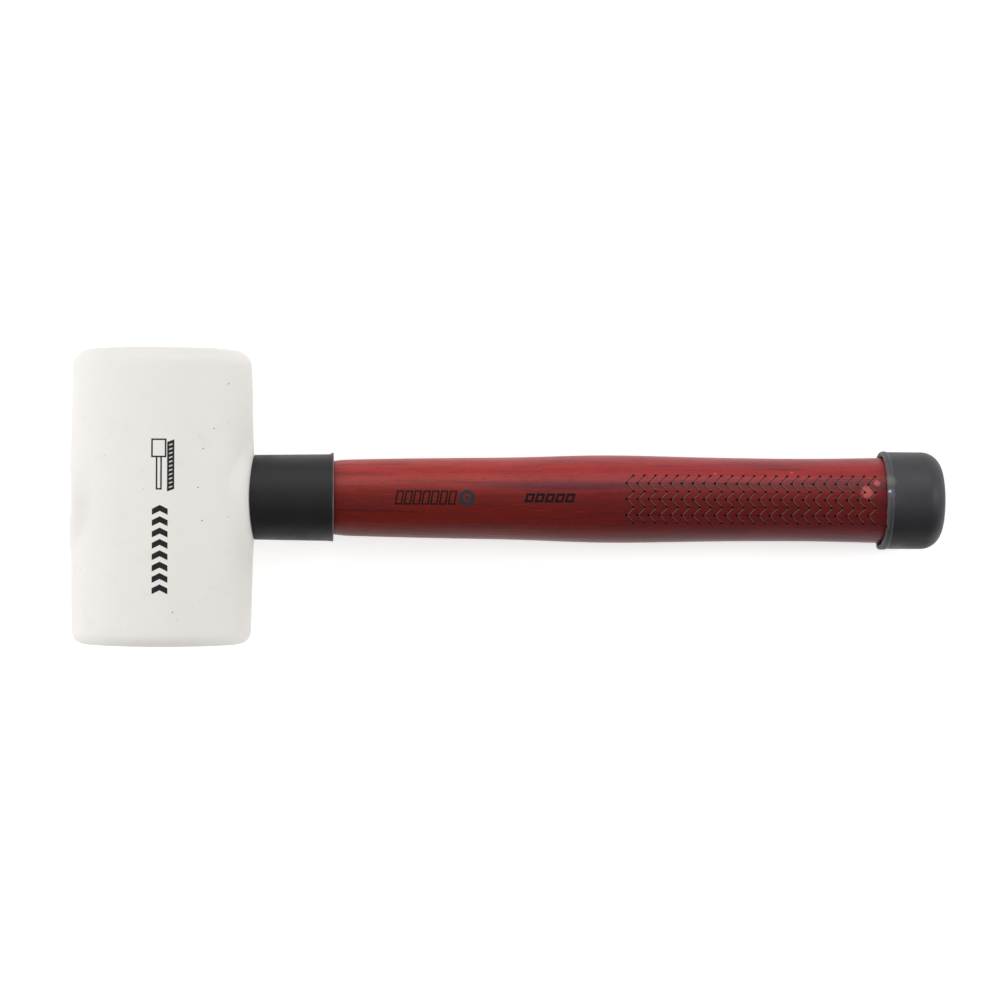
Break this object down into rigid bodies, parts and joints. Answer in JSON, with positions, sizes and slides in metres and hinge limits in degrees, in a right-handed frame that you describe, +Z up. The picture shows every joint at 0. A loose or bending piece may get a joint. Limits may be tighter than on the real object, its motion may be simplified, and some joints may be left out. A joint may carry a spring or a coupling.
{
  "type": "rubber mallet",
  "caption": "Rubber mallet with a white barrel head, wedged hickory handle with a carved grip, a rubber neck collar and a rubber butt cap.",
  "frame": {"origin": "on the bench that the mallet lies on, under the middle of its bounding box", "axes": "+X along the handle from the head towards the butt, +Y along the head towards the more rounded striking face, +Z up from the bench"},
  "size_m": [0.3462, 0.1158, 0.0721],
  "materials": {
    "white_rubber": "matte",
    "stained_hickory": "lacquered",
    "black_rubber": "satin",
    "wedge_wood": "raw",
    "wedge_steel": "brushed"
  },
  "bodies": {
    "root": {"rubber_head": "white_rubber", "handle": "stained_hickory", "neck_collar": "black_rubber", "butt_cap": "black_rubber", "wood_wedge": "wedge_wood", "steel_wedge_left": "wedge_steel", "steel_wedge_right": "wedge_steel"}
  },
  "joints": []
}
